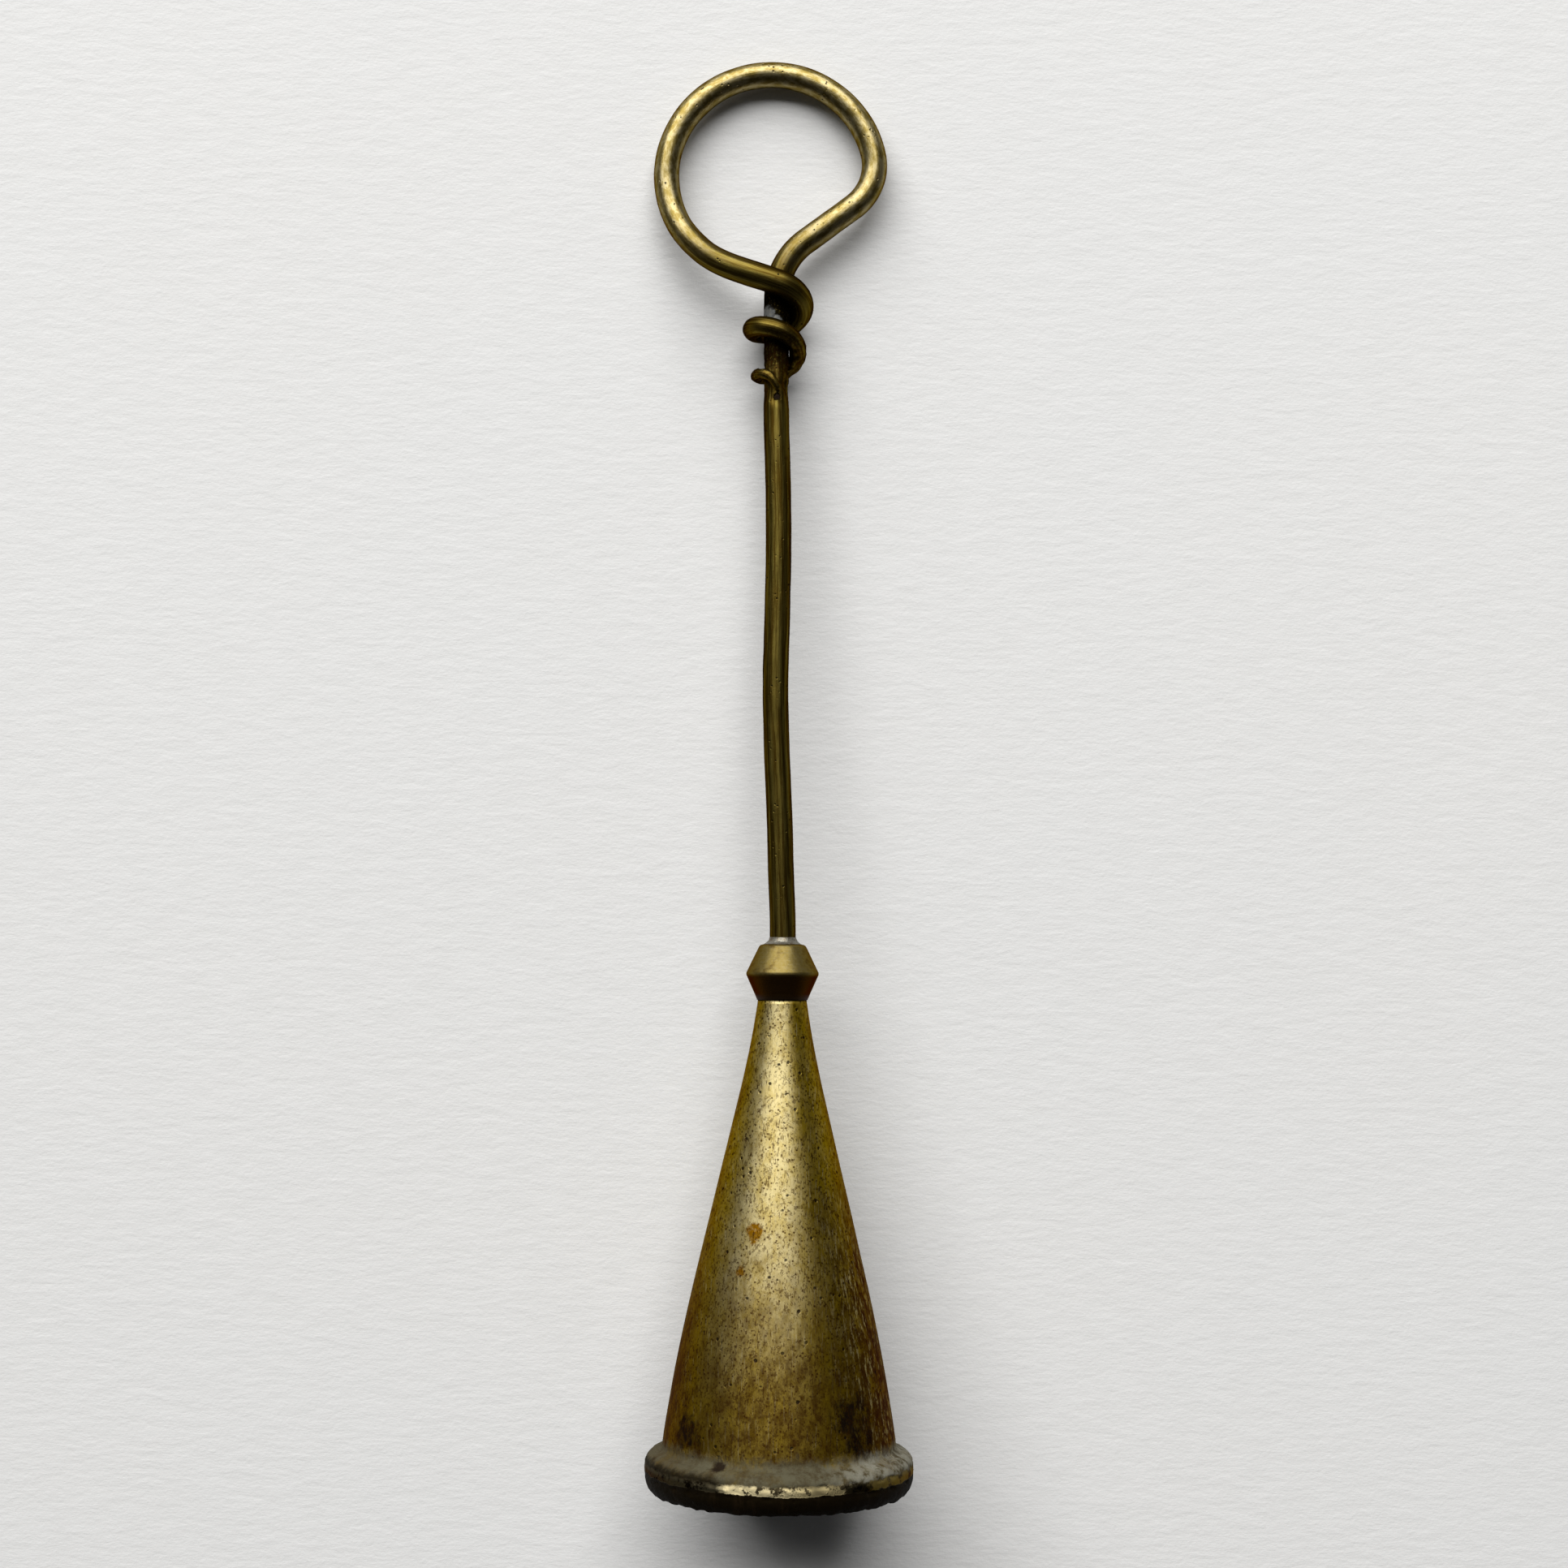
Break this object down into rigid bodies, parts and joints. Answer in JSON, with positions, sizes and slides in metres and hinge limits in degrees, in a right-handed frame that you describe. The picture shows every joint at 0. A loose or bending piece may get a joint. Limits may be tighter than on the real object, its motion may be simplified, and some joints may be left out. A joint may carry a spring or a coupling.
{
  "type": "candle snuffer",
  "caption": "Hollow cone bell with a moulded rim on a slender wire stem, bent into a finger ring with a wound tail; put over a flame to snuff it.",
  "frame": {"origin": "centre of the bell's mouth, in the plane the rim rests on", "axes": "+Z along the bell's axis from the mouth to the finger ring; the finger ring lies close to the XZ plane and its front, where the wire crosses over the stem, faces -Y; +X is to the right seen from the front"},
  "size_m": [0.0327, 0.032, 0.1743],
  "materials": {
    "bell_brass": "satin cast brass with olive-gold patina, brown tarnish and soot towards the mouth",
    "collar_brass": "satin turned brass with pitted patina",
    "wire_brass": "drawn brass wire with dark olive-brown patina, rubbed bright on the ring",
    "burr_brass": "dark tarnished brass",
    "solder": "dull grey soft solder"
  },
  "bodies": {
    "root": {"bell": "bell_brass", "collar": "collar_brass", "wire_handle": "wire_brass", "rivet_burr": "burr_brass", "solder_fillet": "solder"}
  },
  "joints": []
}
